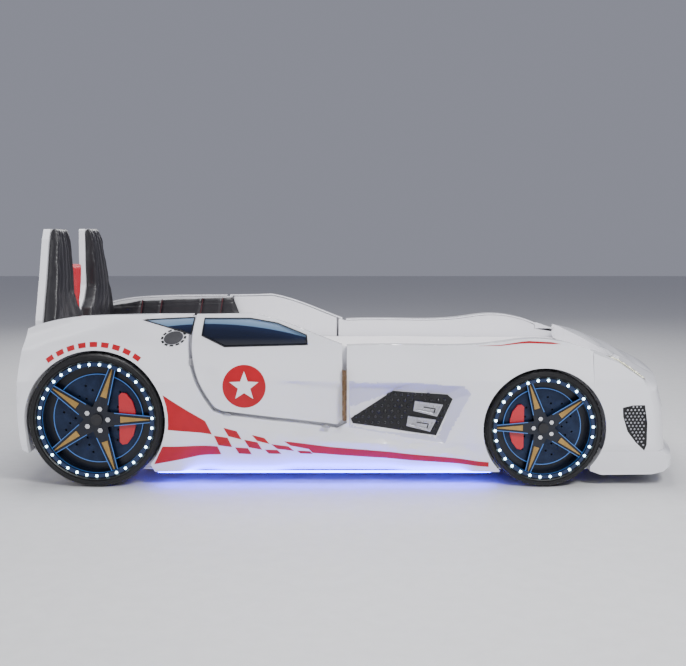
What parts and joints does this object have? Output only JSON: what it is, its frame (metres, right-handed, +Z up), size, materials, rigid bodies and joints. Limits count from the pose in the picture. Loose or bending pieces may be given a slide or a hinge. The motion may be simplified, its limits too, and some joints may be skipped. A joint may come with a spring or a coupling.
{
  "type": "toddler bed",
  "caption": "White racing-car bed with opening doors, lit wheels, bucket-seat headrests and a single mattress.",
  "frame": {"origin": "on the floor under the middle of the bed", "axes": "+X from the head end (tail) to the foot end (nose), +Y to the car's left, +Z up"},
  "size_m": [2.3029, 1.09, 0.88],
  "materials": {
    "white_shell": "gloss",
    "white_board": "satin",
    "slat_wood": "satin",
    "black_plastic": "matte",
    "steel": "satin",
    "mattress_cloth": "matte",
    "hinge_bronze": "satin",
    "window_tint": "gloss",
    "rubber": "matte",
    "grille_black": "satin",
    "scoop_silver": "satin",
    "lens": "gloss",
    "tyre": "matte",
    "rim_black": "gloss",
    "insert_gold": "satin",
    "disc_steel": "satin",
    "caliper_red": "gloss",
    "led_white": "gloss",
    "chrome": "polished",
    "leatherette": "satin",
    "red_leather": "satin",
    "led_blue": "gloss"
  },
  "bodies": {
    "bed": {"brake_discs": "disc_steel", "calipers": "caliper_red", "control_box": "black_plastic", "corner_brackets": "steel", "dc_inlet": "black_plastic", "deck_rails": "slat_wood", "door_magnets": "steel", "door_rests": "rubber", "feet": "black_plastic", "foot_board": "white_board", "frame_screws": "steel", "front_splitter": "white_shell", "fuel_caps": "grille_black", "head_board": "white_board", "headlight_lenses": "lens", "hinge_pins": "hinge_bronze", "hub_caps": "black_plastic", "led_rings": "led_white", "left_front_rim": "rim_black", "left_front_tyre": "tyre", "left_hinge_leaf": "hinge_bronze", "left_rear_rim": "rim_black", "left_rear_tyre": "tyre", "left_seat_cushion": "leatherette", "left_side_board": "white_board", "left_side_shell": "white_shell", "legs": "slat_wood", "lug_nuts": "chrome", "mattress": "mattress_cloth", "nose_grilles": "grille_black", "nose_shell": "white_shell", "quarter_windows": "window_tint", "right_front_rim": "rim_black", "right_front_tyre": "tyre", "right_hinge_leaf": "hinge_bronze", "right_rear_rim": "rim_black", "right_rear_tyre": "tyre", "right_seat_cushion": "leatherette", "right_side_board": "white_board", "right_side_shell": "white_shell", "seat_centre_pad": "red_leather", "seat_shells": "white_shell", "side_paddings": "leatherette", "slats": "slat_wood", "spoke_inserts": "insert_gold", "tail_shell": "white_shell", "underglow_strips": "led_blue", "vent_meshes": "grille_black", "vent_scoops": "scoop_silver"},
    "right_door": {"right_door_skin": "white_shell", "right_door_panel": "white_board", "right_door_window": "window_tint", "right_door_leaf": "hinge_bronze", "right_door_strike": "steel"},
    "left_door": {"left_door_skin": "white_shell", "left_door_panel": "white_board", "left_door_window": "window_tint", "left_door_leaf": "hinge_bronze", "left_door_strike": "steel"},
    "rocker": {"rocker_switch": "black_plastic"}
  },
  "joints": [
    {"name": "right_door_hinge", "type": "hinge", "parent": "bed", "child": "right_door", "pos_m": [-0.041, -0.54, 0.318], "axis": [0, 0, 1], "range_deg": [0, 80]},
    {"name": "left_door_hinge", "type": "hinge", "parent": "bed", "child": "left_door", "pos_m": [-0.041, 0.54, 0.318], "axis": [0, 0, -1], "range_deg": [0, 80]},
    {"name": "power_rocker", "type": "hinge", "parent": "bed", "child": "rocker", "pos_m": [-1.132, -0.092, 0.094], "axis": [0, -1, 0], "range_deg": [0, 14]}
  ]
}
